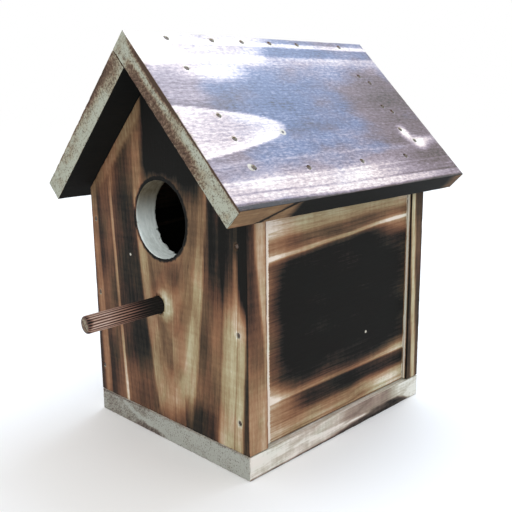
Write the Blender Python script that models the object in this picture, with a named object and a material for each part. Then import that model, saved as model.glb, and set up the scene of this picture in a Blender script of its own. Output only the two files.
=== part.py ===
"""A small nailed birdhouse of torched pine boards.

The floor board lies under everything. The front and back boards stand on it with
their grain upright, and the two side boards fit between them. Two boards make the
roof: the right one runs up to the ridge and laps over the top end of the left one.
A fluted dowel is the perch, and brads driven flush hold every joint.

Metres, +Z up. X runs to the right across the front and Y runs to the back. The origin
is the centre of the floor board's underside.
"""

import math

import bmesh
import bpy
from mathutils import Matrix, Vector

# Overall sizes
HOUSE_WIDTH = 0.120
HOUSE_DEPTH = 0.139
SHOULDER_HEIGHT = 0.1275
ROOF_PITCH = math.radians(45.0)

# Board thicknesses
FLOOR_THICKNESS = 0.012
FRONT_THICKNESS = 0.0125
BACK_THICKNESS = 0.011
SIDE_THICKNESS = 0.012
ROOF_THICKNESS = 0.0115

# How far the roof boards reach past the walls, level
EAVE_OVERHANG = 0.0139
FRONT_OVERHANG = 0.0165
BACK_OVERHANG = 0.018

# How far each side board stands in from the edges of the front and back boards
RIGHT_SIDE_INSET = 0.003
LEFT_SIDE_INSET = 0.0005

# Clearances
JOINT_GAP = 0.0003
NAIL_CLEARANCE = 0.0003
PERCH_CLEARANCE = 0.0003

# Entry hole, its centre a little below the level of the shoulders
ENTRY_DIAMETER = 0.0385
ENTRY_BELOW_SHOULDER = 0.011
ENTRY_SIDES = 64

# Perch: its hole was drilled a little off square, so it droops and swings to the left
PERCH_DIAMETER = 0.0088
PERCH_REACH = 0.0405
PERCH_BELOW_ENTRY = 0.0437
PERCH_OFFSET = -0.004
PERCH_DROOP = math.radians(3.0)
PERCH_SWING = math.radians(6.0)
PERCH_FLUTES = 20
FLUTE_DEPTH = 0.00035
POINTS_PER_FLUTE = 4
PERCH_CHAMFER = 0.0007
PERCH_INSET = 0.0015

# Brads
NAIL_SHANK_RADIUS = 0.00065
NAIL_HEAD_RADIUS = 0.0011
NAIL_HEAD_HEIGHT = 0.0007
NAIL_SET_DEPTH = 0.0003
NAIL_POINT_LENGTH = 0.0018
NAIL_BITE = 0.008
NAIL_SIDES = 8

# Nail rows. A share runs along the row: from the front board to the back board on the ridge, from the
# ridge to the eave nails on a slope, along the side board on an eave, and from foot to shoulder on a wall.
RIDGE_NAIL_DEPTH = 0.0038
RIDGE_SHARES = (0.0, 0.22, 0.38, 0.54, 0.71, 1.0)
RIGHT_FRONT_SHARES = (0.27, 0.61, 0.77, 0.96)
RIGHT_BACK_SHARES = (0.32, 0.38, 0.59, 0.64, 0.79, 0.89)
BACK_STAGGER = 0.0027
LEFT_ROOF_SHARES = (0.33, 0.64, 0.95)
EAVE_SHARES = (0.23, 0.58, 0.91)
EAVE_NAIL_DEPTH = 0.0036
WALL_SHARES = (0.13, 0.50, 0.855)
RIGHT_NAIL_DEPTH = 0.0033
LEFT_NAIL_DEPTH = 0.0030
FLOOR_NAIL_SPACING = 0.070

# A cutter stands this far out of the surface that it cuts
CUTTER_PROUD = 0.001

SIN_PITCH = math.sin(ROOF_PITCH)
COS_PITCH = math.cos(ROOF_PITCH)
SIN_RIDGE = math.sin(2.0 * ROOF_PITCH)
COS_RIDGE = math.cos(2.0 * ROOF_PITCH)

HALF_WIDTH = HOUSE_WIDTH / 2.0
FRONT_Y = -HOUSE_DEPTH / 2.0
BACK_Y = HOUSE_DEPTH / 2.0
WALL_FOOT = FLOOR_THICKNESS + JOINT_GAP
FRONT_MIDDLE_Y = FRONT_Y + FRONT_THICKNESS / 2.0
BACK_MIDDLE_Y = BACK_Y - BACK_THICKNESS / 2.0
RIGHT_OUTER_X = HALF_WIDTH - RIGHT_SIDE_INSET
LEFT_OUTER_X = LEFT_SIDE_INSET - HALF_WIDTH
SIDE_FRONT_Y = FRONT_Y + FRONT_THICKNESS + JOINT_GAP
SIDE_BACK_Y = BACK_Y - BACK_THICKNESS - JOINT_GAP
ENTRY_Z = SHOULDER_HEIGHT - ENTRY_BELOW_SHOULDER
PERCH_Z = ENTRY_Z - PERCH_BELOW_ENTRY

# The ridge is where the outer faces of the two roof boards meet
RIDGE_Z = SHOULDER_HEIGHT + (ROOF_THICKNESS + JOINT_GAP + HALF_WIDTH * SIN_PITCH) / COS_PITCH
RIDGE = Vector((0.0, RIDGE_Z))
SLOPE_LENGTH = (HALF_WIDTH + EAVE_OVERHANG) / COS_PITCH
DOWN_RIGHT = Vector((COS_PITCH, -SIN_PITCH))
DOWN_LEFT = Vector((-COS_PITCH, -SIN_PITCH))
INTO_RIGHT = Vector((-SIN_PITCH, -COS_PITCH))
INTO_LEFT = Vector((SIN_PITCH, -COS_PITCH))


def finish(obj, colour, roughness, metallic=0.0):
    """Gives obj a Principled material of its own."""
    material = bpy.data.materials.new(obj.name)
    material.use_nodes = True
    shader = material.node_tree.nodes["Principled BSDF"]
    shader.inputs["Base Color"].default_value = (*colour, 1.0)
    shader.inputs["Roughness"].default_value = roughness
    shader.inputs["Metallic"].default_value = metallic
    obj.data.materials.append(material)


def add_object(name, mesh):
    """Links a mesh to the scene under the house's empty."""
    obj = bpy.data.objects.new(name, mesh)
    bpy.context.scene.collection.objects.link(obj)
    obj.parent = bpy.data.objects["birdhouse"]
    return obj


def mesh_from(bm, name):
    """Turns a bmesh into a mesh whose faces point out."""
    bmesh.ops.recalc_face_normals(bm, faces=bm.faces)
    mesh = bpy.data.meshes.new(name)
    bm.to_mesh(mesh)
    bm.free()
    return mesh


def saw_board(name, outline, front_y, back_y, colour):
    """A board whose end has the given outline in X and Z, running from front_y to back_y."""
    bm = bmesh.new()
    corners = [bm.verts.new((point[0], 0.0, point[1])) for point in outline]
    end_face = bm.faces.new(corners)
    swept = bmesh.ops.extrude_face_region(bm, geom=[end_face])["geom"]
    far_corners = [item for item in swept if isinstance(item, bmesh.types.BMVert)]
    bmesh.ops.translate(bm, vec=(0.0, back_y - front_y, 0.0), verts=far_corners)
    board = add_object(name, mesh_from(bm, name))
    board.location = (0.0, front_y, 0.0)
    finish(board, colour, 0.8)
    return board


def turned_solid(bm, profile, sides):
    """Turns a profile of (radius, height) points, which starts and ends on the axis, about Z."""
    points = [bm.verts.new((radius, 0.0, height)) for radius, height in profile]
    edges = [bm.edges.new(pair) for pair in zip(points, points[1:])]
    bmesh.ops.spin(
        bm, geom=points + edges, cent=(0.0, 0.0, 0.0), axis=(0.0, 0.0, 1.0),
        angle=2.0 * math.pi, steps=sides, use_merge=True,
    )
    bmesh.ops.remove_doubles(bm, verts=bm.verts, dist=1e-6)


def gable_outline():
    """The front and back boards: upright to the shoulders, then up both slopes."""
    peak_z = RIDGE_Z - (ROOF_THICKNESS + JOINT_GAP) / COS_PITCH
    return [
        (-HALF_WIDTH, WALL_FOOT), (HALF_WIDTH, WALL_FOOT), (HALF_WIDTH, SHOULDER_HEIGHT),
        (0.0, peak_z), (-HALF_WIDTH, SHOULDER_HEIGHT),
    ]


def side_outline(outer_x):
    """A side board, its top edge planed to the slope of the roof."""
    side = math.copysign(1.0, outer_x)
    inner_x = outer_x - side * SIDE_THICKNESS
    slope = math.tan(ROOF_PITCH)
    outer_top = SHOULDER_HEIGHT + (HALF_WIDTH - abs(outer_x)) * slope
    inner_top = SHOULDER_HEIGHT + (HALF_WIDTH - abs(inner_x)) * slope
    return [(inner_x, WALL_FOOT), (outer_x, WALL_FOOT), (outer_x, outer_top), (inner_x, inner_top)]


def right_roof_outline():
    """The right roof board, whose top end is flush with the left slope."""
    eave = RIDGE + DOWN_RIGHT * SLOPE_LENGTH
    top_inner = RIDGE + DOWN_LEFT * (ROOF_THICKNESS / SIN_RIDGE)
    return [RIDGE, eave, eave + INTO_RIGHT * ROOF_THICKNESS, top_inner]


def left_roof_outline():
    """The left roof board, whose top end butts against the underside of the right one."""
    butt = ROOF_THICKNESS + JOINT_GAP
    eave = RIDGE + DOWN_LEFT * SLOPE_LENGTH
    top_outer = RIDGE + DOWN_LEFT * (butt / SIN_RIDGE)
    along = (butt - ROOF_THICKNESS * COS_RIDGE) / SIN_RIDGE
    top_inner = RIDGE + INTO_LEFT * ROOF_THICKNESS + DOWN_LEFT * along
    return [top_outer, eave, eave + INTO_LEFT * ROOF_THICKNESS, top_inner]


def make_boards():
    """The seven boards, by name."""
    roof_front = FRONT_Y - FRONT_OVERHANG
    roof_back = BACK_Y + BACK_OVERHANG
    floor = [
        (-HALF_WIDTH, 0.0), (HALF_WIDTH, 0.0),
        (HALF_WIDTH, FLOOR_THICKNESS), (-HALF_WIDTH, FLOOR_THICKNESS),
    ]
    plan = [
        ("floor_board", floor, FRONT_Y, BACK_Y, (0.45, 0.33, 0.23)),
        ("front_board", gable_outline(), FRONT_Y, FRONT_Y + FRONT_THICKNESS, (0.23, 0.13, 0.07)),
        ("back_board", gable_outline(), BACK_Y - BACK_THICKNESS, BACK_Y, (0.25, 0.15, 0.08)),
        ("left_side_board", side_outline(LEFT_OUTER_X), SIDE_FRONT_Y, SIDE_BACK_Y, (0.11, 0.07, 0.05)),
        ("right_side_board", side_outline(RIGHT_OUTER_X), SIDE_FRONT_Y, SIDE_BACK_Y, (0.09, 0.06, 0.04)),
        ("left_roof_board", left_roof_outline(), roof_front, roof_back, (0.19, 0.13, 0.11)),
        ("right_roof_board", right_roof_outline(), roof_front, roof_back, (0.22, 0.16, 0.14)),
    ]
    return {row[0]: saw_board(*row) for row in plan}


def cut_with(board, bm, name):
    """Cuts the closed shapes in bm out of a board."""
    cutter = add_object(name, mesh_from(bm, name))
    cutter.hide_render = True
    cutter.display_type = "WIRE"
    cut = board.modifiers.new(name, "BOOLEAN")
    cut.operation = "DIFFERENCE"
    cut.solver = "EXACT"
    cut.object = cutter


def cut_entry_hole(front_board):
    """The round door, through the front board on its centre line."""
    bm = bmesh.new()
    radius = ENTRY_DIAMETER / 2.0
    turn = Matrix.Rotation(math.pi / 2.0, 4, "X")
    place = Matrix.Translation((0.0, FRONT_MIDDLE_Y, ENTRY_Z))
    bmesh.ops.create_cone(
        bm, cap_ends=True, segments=ENTRY_SIDES, radius1=radius, radius2=radius,
        depth=FRONT_THICKNESS + 2.0 * CUTTER_PROUD, matrix=place @ turn,
    )
    cut_with(front_board, bm, "entry_cutter")


def perch_placement():
    """The perch's own +Z runs along it, out of the front face."""
    along = Vector((
        -math.sin(PERCH_SWING) * math.cos(PERCH_DROOP),
        -math.cos(PERCH_SWING) * math.cos(PERCH_DROOP),
        -math.sin(PERCH_DROOP),
    ))
    root = Matrix.Translation((PERCH_OFFSET, FRONT_Y, PERCH_Z))
    return root @ along.to_track_quat("Z", "Y").to_matrix().to_4x4()


def make_perch(front_board):
    """A fluted dowel with a chamfered end, and the hole that it is pressed into."""
    radius = PERCH_DIAMETER / 2.0
    back_end = PERCH_INSET - FRONT_THICKNESS
    bm = bmesh.new()
    bmesh.ops.create_circle(
        bm, cap_ends=True, segments=PERCH_FLUTES * POINTS_PER_FLUTE, radius=radius,
        matrix=Matrix.Translation((0.0, 0.0, back_end)),
    )
    for vert in bm.verts:
        angle = math.atan2(vert.co.y, vert.co.x)
        groove = 0.5 - 0.5 * math.cos(PERCH_FLUTES * angle)
        shrink = 1.0 - groove * FLUTE_DEPTH / radius
        vert.co.x *= shrink
        vert.co.y *= shrink
    section = list(bm.faces)
    inner_faces = []
    chamfer_scale = 1.0 - PERCH_CHAMFER / radius
    steps = [
        (PERCH_REACH - PERCH_CHAMFER - back_end, 1.0),
        (PERCH_CHAMFER, chamfer_scale),
    ]
    for length, scale in steps:
        swept = bmesh.ops.extrude_face_region(bm, geom=section)["geom"]
        ring = [item for item in swept if isinstance(item, bmesh.types.BMVert)]
        section = [item for item in swept if isinstance(item, bmesh.types.BMFace)]
        inner_faces += section
        bmesh.ops.translate(bm, vec=(0.0, 0.0, length), verts=ring)
        bmesh.ops.scale(bm, vec=(scale, scale, 1.0), verts=ring)
    bmesh.ops.delete(bm, geom=inner_faces[:-1], context="FACES_ONLY")
    perch = add_object("perch_dowel", mesh_from(bm, "perch_dowel"))
    perch.matrix_world = perch_placement()
    finish(perch, (0.22, 0.12, 0.07), 0.7)

    bm = bmesh.new()
    bore_radius = radius + PERCH_CLEARANCE
    bore_length = 2.0 * FRONT_THICKNESS + 4.0 * CUTTER_PROUD
    centre = Matrix.Translation((0.0, 0.0, -FRONT_THICKNESS / 2.0))
    bmesh.ops.create_cone(
        bm, cap_ends=True, segments=ENTRY_SIDES // 2, radius1=bore_radius, radius2=bore_radius,
        depth=bore_length, matrix=perch_placement() @ centre,
    )
    cut_with(front_board, bm, "perch_bore_cutter")


def nail_profile(length):
    """A brad from its point up to the top of its head, which is at height zero."""
    return [
        (0.0, -length), (NAIL_SHANK_RADIUS, NAIL_POINT_LENGTH - length),
        (NAIL_SHANK_RADIUS, -NAIL_HEAD_HEIGHT), (NAIL_HEAD_RADIUS, -NAIL_HEAD_HEIGHT),
        (NAIL_HEAD_RADIUS, 0.0), (0.0, 0.0),
    ]


def pilot_profile(length):
    """The hole that a nail leaves, wider than the nail by the clearance all round."""
    bore = NAIL_SHANK_RADIUS + NAIL_CLEARANCE
    sink = NAIL_HEAD_RADIUS + NAIL_CLEARANCE
    seat = -NAIL_SET_DEPTH - NAIL_HEAD_HEIGHT - NAIL_CLEARANCE
    bottom = -NAIL_SET_DEPTH - length - NAIL_CLEARANCE
    return [
        (0.0, bottom), (bore, bottom), (bore, seat), (sink, seat),
        (sink, CUTTER_PROUD), (0.0, CUTTER_PROUD),
    ]


def nail_rows():
    """Every nail: name, place on the surface, way in, board that it goes through, board that it holds."""
    rows = []

    def drive(name, place, way_in, through, holds):
        rows.append((name, Vector(place), Vector(way_in), through, holds))

    def slope_point(down, distance, y):
        point = RIDGE + down * distance
        return (point.x, y, point.y)

    def eave_distance(down, outer_x):
        """How far down the slope a nail starts so that it meets a side board near its outer face."""
        entry = abs(outer_x) - EAVE_NAIL_DEPTH
        return (entry + ROOF_THICKNESS * SIN_PITCH) / COS_PITCH

    into_right = (INTO_RIGHT.x, 0.0, INTO_RIGHT.y)
    into_left = (INTO_LEFT.x, 0.0, INTO_LEFT.y)
    run_y = BACK_MIDDLE_Y - FRONT_MIDDLE_Y
    side_run = SIDE_BACK_Y - SIDE_FRONT_Y
    right_eave = eave_distance(DOWN_RIGHT, RIGHT_OUTER_X)
    left_eave = eave_distance(DOWN_LEFT, LEFT_OUTER_X)

    for i, share in enumerate(RIDGE_SHARES, 1):
        place = slope_point(DOWN_RIGHT, RIDGE_NAIL_DEPTH, FRONT_MIDDLE_Y + run_y * share)
        drive(f"ridge_nail_{i}", place, into_right, "right_roof_board", "left_roof_board")
    for i, share in enumerate(RIGHT_FRONT_SHARES, 1):
        place = slope_point(DOWN_RIGHT, right_eave * share, FRONT_MIDDLE_Y)
        drive(f"right_roof_front_nail_{i}", place, into_right, "right_roof_board", "front_board")
    for i, share in enumerate(RIGHT_BACK_SHARES, 1):
        y = BACK_MIDDLE_Y + BACK_STAGGER * (-1) ** i
        place = slope_point(DOWN_RIGHT, right_eave * share, y)
        drive(f"right_roof_back_nail_{i}", place, into_right, "right_roof_board", "back_board")
    for i, share in enumerate(EAVE_SHARES, 1):
        y = SIDE_FRONT_Y + side_run * share
        place = slope_point(DOWN_RIGHT, right_eave, y)
        drive(f"right_eave_nail_{i}", place, into_right, "right_roof_board", "right_side_board")
        place = slope_point(DOWN_LEFT, left_eave, y)
        drive(f"left_eave_nail_{i}", place, into_left, "left_roof_board", "left_side_board")
    for i, share in enumerate(LEFT_ROOF_SHARES, 1):
        place = slope_point(DOWN_LEFT, left_eave * share, FRONT_MIDDLE_Y)
        drive(f"left_roof_front_nail_{i}", place, into_left, "left_roof_board", "front_board")
        place = slope_point(DOWN_LEFT, left_eave * share, BACK_MIDDLE_Y)
        drive(f"left_roof_back_nail_{i}", place, into_left, "left_roof_board", "back_board")

    right_x = RIGHT_OUTER_X - RIGHT_NAIL_DEPTH
    left_x = LEFT_OUTER_X + LEFT_NAIL_DEPTH
    for i, share in enumerate(WALL_SHARES, 1):
        height = WALL_FOOT + (SHOULDER_HEIGHT - WALL_FOOT) * share
        for side, x in (("right", right_x), ("left", left_x)):
            held = f"{side}_side_board"
            drive(f"front_{side}_nail_{i}", (x, FRONT_Y, height), (0, 1, 0), "front_board", held)
            drive(f"back_{side}_nail_{i}", (x, BACK_Y, height), (0, -1, 0), "back_board", held)

    for side, x in (("left", -FLOOR_NAIL_SPACING / 2.0), ("right", FLOOR_NAIL_SPACING / 2.0)):
        drive(f"floor_front_{side}_nail", (x, FRONT_MIDDLE_Y, 0.0), (0, 0, 1), "floor_board", "front_board")
        drive(f"floor_back_{side}_nail", (x, BACK_MIDDLE_Y, 0.0), (0, 0, 1), "floor_board", "back_board")
    for side, outer_x in (("left", LEFT_OUTER_X), ("right", RIGHT_OUTER_X)):
        x = outer_x - math.copysign(SIDE_THICKNESS / 2.0, outer_x)
        drive(f"floor_side_{side}_nail", (x, 0.0, 0.0), (0, 0, 1), "floor_board", f"{side}_side_board")
    return rows


def drive_nails(boards):
    """Makes the nails and cuts the hole of each from both of its boards."""
    thickness = {
        "floor_board": FLOOR_THICKNESS,
        "front_board": FRONT_THICKNESS,
        "back_board": BACK_THICKNESS,
        "left_roof_board": ROOF_THICKNESS,
        "right_roof_board": ROOF_THICKNESS,
    }
    cutters = {name: bmesh.new() for name in boards}
    for name, place, way_in, through, holds in nail_rows():
        length = thickness[through] + NAIL_BITE
        turn = (-way_in).to_track_quat("Z", "Y").to_matrix().to_4x4()
        surface = Matrix.Translation(place) @ turn

        bm = bmesh.new()
        turned_solid(bm, nail_profile(length), NAIL_SIDES)
        nail = add_object(name, mesh_from(bm, name))
        nail.matrix_world = surface @ Matrix.Translation((0.0, 0.0, -NAIL_SET_DEPTH))
        finish(nail, (0.18, 0.15, 0.13), 0.5, 0.9)

        bm = bmesh.new()
        turned_solid(bm, pilot_profile(length), NAIL_SIDES)
        bmesh.ops.transform(bm, matrix=surface, verts=bm.verts)
        hole = mesh_from(bm, "hole")
        for board_name in (through, holds):
            cutters[board_name].from_mesh(hole)
        bpy.data.meshes.remove(hole)
    for name, bm in cutters.items():
        cut_with(boards[name], bm, f"{name}_nail_cutter")


def build():
    """Clears the scene's objects and makes the birdhouse."""
    for obj in list(bpy.data.objects):
        bpy.data.objects.remove(obj)
    house = bpy.data.objects.new("birdhouse", None)
    bpy.context.scene.collection.objects.link(house)
    boards = make_boards()
    cut_entry_hole(boards["front_board"])
    make_perch(boards["front_board"])
    drive_nails(boards)


build()
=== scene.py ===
# %% [markdown]
# # A torched pine birdhouse
# The carpentry is already solved: seven boards, a fluted perch and forty-six brads arrive as a fixed frame.
# What is left is how wood looks after a torch and a wire brush have been over it. Every board is recut here
# as a fine mesh so that its face can carry raised grain, broken arrises and torn fibres, and every finish is
# built from the wood's own figure: growth rings first, then scorch, then fibres.

# %% Load the carpentry
import math
import bmesh
import bpy
import numpy as np
from mathutils import Matrix, Vector, kdtree, noise


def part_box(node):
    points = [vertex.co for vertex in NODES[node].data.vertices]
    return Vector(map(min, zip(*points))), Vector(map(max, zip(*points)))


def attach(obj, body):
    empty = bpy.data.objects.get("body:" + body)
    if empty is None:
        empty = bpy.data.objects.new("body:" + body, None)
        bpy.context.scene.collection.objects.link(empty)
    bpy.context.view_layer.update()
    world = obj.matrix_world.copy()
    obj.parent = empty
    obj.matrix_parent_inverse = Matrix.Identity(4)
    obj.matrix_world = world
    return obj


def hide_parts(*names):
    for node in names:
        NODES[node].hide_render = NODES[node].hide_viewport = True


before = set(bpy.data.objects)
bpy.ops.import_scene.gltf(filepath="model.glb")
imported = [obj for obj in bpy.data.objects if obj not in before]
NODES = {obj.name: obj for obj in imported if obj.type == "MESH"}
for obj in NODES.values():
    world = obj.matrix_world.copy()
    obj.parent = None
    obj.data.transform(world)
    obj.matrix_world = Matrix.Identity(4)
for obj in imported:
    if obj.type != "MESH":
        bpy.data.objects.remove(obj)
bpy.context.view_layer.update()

MM = 0.001

# %% [markdown]
# ## The camera
# A small object seen from close by shows strong perspective: the near corner is tall and the eaves
# run apart. The camera is placed by the direction it looks back along, a distance of about two house heights
# and a lens a little longer than normal. A slight roll is kept, because nobody holds a camera quite level.

# %% Camera
LOOK_AT = Vector((0.0, 0.0, 0.0874))
AZIMUTH, ELEVATION, ROLL = math.radians(44.72), math.radians(12.60), math.radians(-0.68)
DISTANCE, LENS = 0.408, 51.22
LENS_SHIFT_X, LENS_SHIFT_Y = -0.009766, -0.001953             # as shares of the picture's width

back = Vector((math.sin(AZIMUTH) * math.cos(ELEVATION),
               -math.cos(AZIMUTH) * math.cos(ELEVATION),
               math.sin(ELEVATION)))
right = (-back).cross(Vector((0, 0, 1))).normalized()
up = right.cross(-back)
side_axis = right * math.cos(ROLL) + up * math.sin(ROLL)
top_axis = up * math.cos(ROLL) - right * math.sin(ROLL)

camera_data = bpy.data.cameras.new("camera")
camera_data.lens = LENS
camera_data.shift_x = LENS_SHIFT_X
camera_data.shift_y = LENS_SHIFT_Y
camera_data.clip_start = 0.01
camera = bpy.data.objects.new("camera", camera_data)
turn = Matrix((side_axis, top_axis, back)).transposed().to_4x4()
camera.matrix_world = Matrix.Translation(LOOK_AT + back * DISTANCE) @ turn
bpy.context.collection.objects.link(camera)
bpy.context.scene.camera = camera
bpy.context.scene.view_settings.view_transform = "Standard"
print("camera at", [round(v, 3) for v in camera.matrix_world.translation])

# %% [markdown]
# ## Wiring helpers
# Node trees are easier to read when one line adds one node. `add` makes a node, sets its options and feeds
# its sockets; `maths` is the same for plain sums. A socket that is given another socket is linked, and a
# socket that is given a number or a colour keeps it.

# %% One line for one node
def feed(tree, socket, value):
    if isinstance(value, bpy.types.NodeSocket):
        tree.links.new(value, socket)
    else:
        socket.default_value = value


def add(tree, kind, inputs=None, **options):
    made = tree.nodes.new("ShaderNode" + kind)
    for option, value in options.items():
        setattr(made, option, value)
    for key, value in (inputs or {}).items():
        feed(tree, made.inputs[key], value)
    return made


def maths(tree, operation, *values, clamp=False):
    made = add(tree, "Math", operation=operation, use_clamp=clamp)
    for socket, value in zip(made.inputs, values):
        feed(tree, socket, value)
    return made.outputs[0]


def blend(tree, amount, first, second, mode="MIX"):
    made = add(tree, "Mix", data_type="RGBA", blend_type=mode, clamp_factor=True)
    feed(tree, made.inputs[0], amount)
    feed(tree, made.inputs[6], first)
    feed(tree, made.inputs[7], second)
    return made.outputs[2]


def soften(tree, value, start, stop, low=0.0, high=1.0):
    made = add(tree, "MapRange", {"Value": value, "From Min": start, "From Max": stop,
                                  "To Min": low, "To Max": high}, interpolation_type="SMOOTHSTEP")
    return made.outputs["Result"]


def paint(red, green, blue):
    """A colour given as it looks on screen, 0 to 255, turned to the linear light that shaders use."""
    def linear(level):
        level /= 255
        return level / 12.92 if level <= 0.04045 else ((level + 0.055) / 1.055) ** 2.4
    return (linear(red), linear(green), linear(blue), 1.0)


def ramp(tree, value, stops):
    """A colour ramp; a stop's colour may be one number, for a ramp of plain values."""
    made = add(tree, "ValToRGB", {0: value})
    elements = made.color_ramp.elements
    while len(elements) < len(stops):
        elements.new(0.5)
    for element, (place, colour) in zip(elements, stops):
        element.position = place
        element.color = colour if hasattr(colour, "__len__") else (colour, colour, colour, 1.0)
    return made.outputs[0]


def group(name, inputs, outputs):
    """A shader node group with named sockets: gives the tree, its input sockets and its output node."""
    tree = bpy.data.node_groups.new(name, "ShaderNodeTree")
    for socket, kind in inputs.items():
        tree.interface.new_socket(socket, in_out="INPUT", socket_type="NodeSocket" + kind)
    for socket, kind in outputs.items():
        tree.interface.new_socket(socket, in_out="OUTPUT", socket_type="NodeSocket" + kind)
    entry = tree.nodes.new("NodeGroupInput")
    leave = tree.nodes.new("NodeGroupOutput")
    return tree, entry.outputs, leave.inputs


def use(tree, made, inputs):
    """Places a finished group in a material and gives its outputs."""
    placed = add(tree, "Group")
    placed.node_tree = made
    for key, value in inputs.items():
        feed(tree, placed.inputs[key], value)
    return placed.outputs


def new_material(name):
    material = bpy.data.materials.new(name)
    material.use_nodes = True
    return material, material.node_tree, material.node_tree.nodes["Principled BSDF"]


def noise_at(tree, vector, detail=3.0, rough=0.55):
    made = add(tree, "TexNoise", {"Vector": vector, "Scale": 1.0, "Detail": detail, "Roughness": rough})
    return made.outputs[0]


def stretch(tree, vector, along, across, depth):
    made = add(tree, "VectorMath", {0: vector, 1: (along, across, depth)}, operation="MULTIPLY")
    return made.outputs[0]

# %% [markdown]
# ## Floor and light
# A plain pale floor, a white surround and soft lamps. The surround does most of the work: it lights the two
# near faces evenly. A wide cool panel high behind the roof stands for the open sky; its reflection, together
# with a painted copy of that reflection in the roof boards' colour, turns the right roof board pale and
# bluish. It is aimed by working out where the eye's line bounces to from the upper front part of that board.

# %% Floor
def finish_mesh(bm, name, smooth_angle=None):
    mesh = bpy.data.meshes.new(name)
    bm.to_mesh(mesh)
    bm.free()
    if smooth_angle is not None:
        mesh.shade_smooth()
        mesh.set_sharp_from_angle(angle=math.radians(smooth_angle))
    piece = bpy.data.objects.new(name, mesh)
    bpy.context.collection.objects.link(piece)
    return piece


FLOOR_RADIUS = 8.0
WHITE_FROM, WHITE_BY = 0.25, 1.6                           # metres over which the floor turns white
bm = bmesh.new()
bmesh.ops.create_circle(bm, cap_ends=True, segments=96, radius=FLOOR_RADIUS)
floor = finish_mesh(bm, "floor")

floor_paint, tree, shader = new_material("floor_paint")
shader.inputs["Roughness"].default_value = 0.85
place = add(tree, "TexCoord").outputs["Object"]
near = blend(tree, noise_at(tree, place, 2.0), (0.89, 0.89, 0.89, 1), (0.92, 0.92, 0.915, 1))
away = add(tree, "VectorMath", {0: place}, operation="LENGTH").outputs["Value"]
far_off = soften(tree, away, WHITE_FROM, WHITE_BY)
feed(tree, shader.inputs["Base Color"], blend(tree, far_off, near, (1.0, 1.0, 1.0, 1)))
shader.inputs["Specular IOR Level"].default_value = 0.0
floor.data.materials.append(floor_paint)

# %% Lamps and surround
def panel(name, direction, distance, size, power, colour):
    """A square soft lamp that faces the middle of the house."""
    lamp = bpy.data.lights.new(name, "AREA")
    lamp.size = size
    lamp.energy = power
    lamp.color = colour
    holder = bpy.data.objects.new(name, lamp)
    heading = Vector(direction).normalized()
    holder.location = LOOK_AT + heading * distance
    holder.rotation_euler = heading.to_track_quat("Z", "Y").to_euler()
    holder.visible_camera = False
    bpy.context.collection.objects.link(holder)


world = bpy.data.worlds.new("surround")
bpy.context.scene.world = world
world.use_nodes = True
world.node_tree.nodes["Background"].inputs["Color"].default_value = (1.0, 1.0, 1.0, 1.0)
world.node_tree.nodes["Background"].inputs["Strength"].default_value = 1.0
panel("sky_panel", (-0.06, 0.47, 0.88), 1.2, 0.75, 9.0, (0.66, 0.80, 1.0))
panel("key_panel", (0.75, -0.95, 0.75), 1.3, 0.8, 2.0, (1.0, 0.98, 0.95))

# %% [markdown]
# ## Grain
# Pine is a bundle of long fibres, so anything drawn on it is stretched twenty to forty times along the
# board. All boards share one group that gives noises in board directions, in millimetres: hair-fine fibres,
# wider streaks, soft clouds where the torch lingered, short flecks, and the faint ripple that a planer's
# knives leave across the grain.

# %% Pine grain group
grain_group, entry, leave = group("pine_grain", {"Board": "Vector"},
                                  {"Fibre": "Float", "Streak": "Float", "Cloud": "Float", "Fleck": "Float",
                                   "Ripple": "Float"})
GRAINS = {                                                 # scale along, across and through, detail, roughness
    "Fibre": ((.05, 1.3, 1.3), 4, .6),
    "Streak": ((.012, .28, .28), 3, .55),
    "Cloud": ((.03, .06, .06), 3, .55),
    "Fleck": ((.35, .9, .9), 3, .7),
    "Ripple": ((.42, .035, .035), 2, .5),
}
for output, (stretches, detail, rough) in GRAINS.items():
    stretched = stretch(grain_group, entry["Board"], *stretches)
    feed(grain_group, leave[output], noise_at(grain_group, stretched, detail, rough))

# %% [markdown]
# ## Growth rings
# Where a board cuts a year's ring it shows a soft, slowly darkening band that ends in a thin hard line. The
# group turns a distance from the heart of the tree into those lines: the fraction of one ring's width,
# raised to a power so that the dark part is narrow.

# %% Ring line group
ring_group, entry, leave = group("ring_lines", {"Ring": "Float", "Spacing": "Float"}, {"Line": "Float"})
turns = maths(ring_group, "DIVIDE", entry["Ring"], entry["Spacing"])
part = maths(ring_group, "FRACT", turns)
slow = maths(ring_group, "POWER", part, 3.0)
drop = soften(ring_group, part, 0.9, 1.0, 1.0, 0.0)
feed(ring_group, leave["Line"], maths(ring_group, "MULTIPLY", slow, drop))

# %% [markdown]
# ## Round marks
# A drilled hole leaves a burnt or a brushed rim, a knot leaves a pale eye, and a chip leaves a fleck. All of
# them are one group: a soft disc on the face of a board, with its rim pushed in and out by noise.

# %% Round mark group
mark_group, entry, leave = group("round_mark", {"Board": "Vector", "Centre": "Vector", "Radius": "Float",
                                                "Soft": "Float", "Wander": "Float"}, {"Mask": "Float"})
flat = stretch(mark_group, entry["Board"], 1, 1, 0)
reach = add(mark_group, "VectorMath", {0: flat, 1: entry["Centre"]}, operation="DISTANCE").outputs["Value"]
uneven_rim = noise_at(mark_group, stretch(mark_group, entry["Board"], .3, .4, .4))
jitter = maths(mark_group, "SUBTRACT", uneven_rim, 0.5)
reach = maths(mark_group, "ADD", reach, maths(mark_group, "MULTIPLY", jitter, entry["Wander"]))
outer = maths(mark_group, "ADD", entry["Radius"], entry["Soft"])
feed(mark_group, leave["Mask"], soften(mark_group, reach, outer, entry["Radius"]))
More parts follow.
